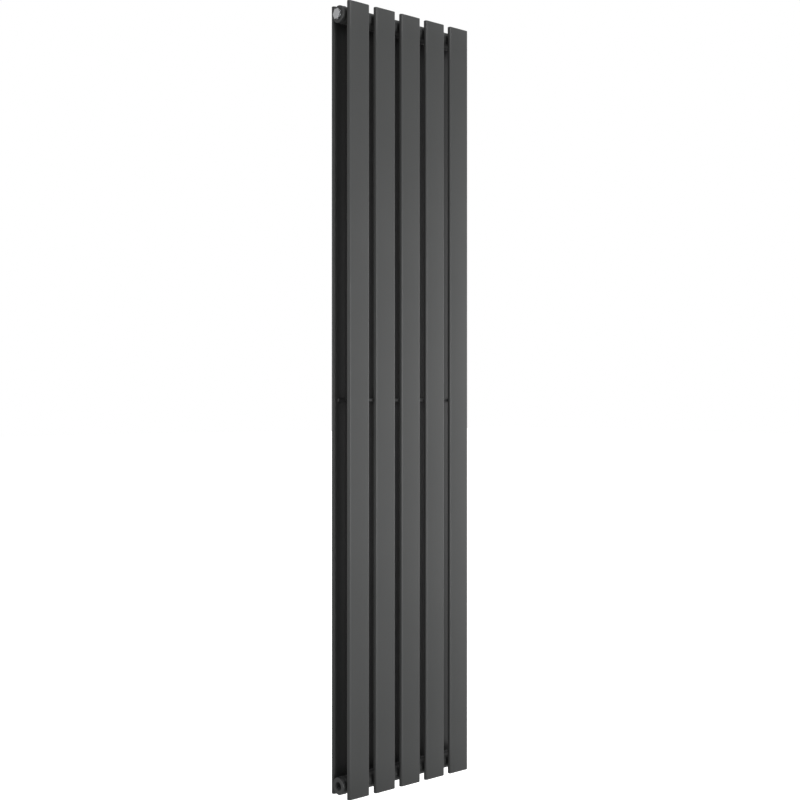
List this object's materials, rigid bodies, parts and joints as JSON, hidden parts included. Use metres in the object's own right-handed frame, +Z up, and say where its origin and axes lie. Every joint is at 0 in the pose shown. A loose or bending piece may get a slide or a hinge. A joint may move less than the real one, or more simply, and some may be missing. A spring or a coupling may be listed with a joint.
{
  "type": "column radiator",
  "caption": "Tall vertical double column radiator of flat oval steel tubes on round headers, with side ports, plug, air vent and lift-off wall brackets.",
  "frame": {"origin": "on the wall plane behind the radiator, at the middle of its width and of its height", "axes": "+X to the right seen from the room, +Y into the wall, +Z up"},
  "size_m": [0.3988, 0.114, 1.8],
  "materials": {
    "powder_coat": "anthracite satin powder coat on steel",
    "chrome": "bright chrome plate on brass",
    "brass": "machined brass",
    "seal_rubber": "black moulded rubber",
    "needle_rubber": "black moulded rubber",
    "zinc_plate": "bright zinc plate on steel",
    "nylon": "natural white nylon"
  },
  "bodies": {
    "wall_brackets": {"top_left_bracket": "zinc_plate", "top_right_bracket": "zinc_plate", "bottom_left_bracket": "zinc_plate", "bottom_right_bracket": "zinc_plate", "top_left_liner": "nylon", "top_right_liner": "nylon", "bottom_left_liner": "nylon", "bottom_right_liner": "nylon"},
    "radiator": {"front_tube_1": "powder_coat", "front_tube_2": "powder_coat", "front_tube_3": "powder_coat", "front_tube_4": "powder_coat", "front_tube_5": "powder_coat", "rear_tube_1": "powder_coat", "rear_tube_2": "powder_coat", "rear_tube_3": "powder_coat", "rear_tube_4": "powder_coat", "rear_tube_5": "powder_coat", "front_top_cap_1": "powder_coat", "front_top_cap_2": "powder_coat", "front_top_cap_3": "powder_coat", "front_top_cap_4": "powder_coat", "front_top_cap_5": "powder_coat", "front_bottom_cap_1": "powder_coat", "front_bottom_cap_2": "powder_coat", "front_bottom_cap_3": "powder_coat", "front_bottom_cap_4": "powder_coat", "front_bottom_cap_5": "powder_coat", "rear_top_cap_1": "powder_coat", "rear_top_cap_2": "powder_coat", "rear_top_cap_3": "powder_coat", "rear_top_cap_4": "powder_coat", "rear_top_cap_5": "powder_coat", "rear_bottom_cap_1": "powder_coat", "rear_bottom_cap_2": "powder_coat", "rear_bottom_cap_3": "powder_coat", "rear_bottom_cap_4": "powder_coat", "rear_bottom_cap_5": "powder_coat", "top_header": "powder_coat", "bottom_header": "powder_coat", "top_left_bush": "powder_coat", "top_right_bush": "powder_coat", "bottom_left_bush": "powder_coat", "bottom_right_bush": "powder_coat", "front_brace_rod": "powder_coat", "rear_brace_rod": "powder_coat", "blanking_plug": "chrome", "plug_seal": "seal_rubber", "vent_body": "chrome", "vent_seal": "seal_rubber", "top_left_lug": "powder_coat", "top_right_lug": "powder_coat", "bottom_left_lug": "powder_coat", "bottom_right_lug": "powder_coat"},
    "bleed_needle": {"bleed_needle": "needle_rubber"},
    "bleed_screw": {"bleed_screw": "brass"}
  },
  "joints": [
    {"name": "hang_lift", "type": "slide", "parent": "wall_brackets", "child": "radiator", "axis": [0, 0, 1], "range_m": [0, 0.018]},
    {"name": "bleed_travel", "type": "slide", "parent": "radiator", "child": "bleed_needle", "axis": [1, 0, 0], "range_m": [0, 0.001]},
    {"name": "bleed_turn", "type": "hinge", "parent": "bleed_needle", "child": "bleed_screw", "pos_m": [0.187, -0.0795, 0.8748], "axis": [1, 0, 0], "range_deg": [0, 360]}
  ],
  "couplings": [
    {"joint": "bleed_travel", "follows": "bleed_turn", "m_per_rad": 0.000159}
  ]
}
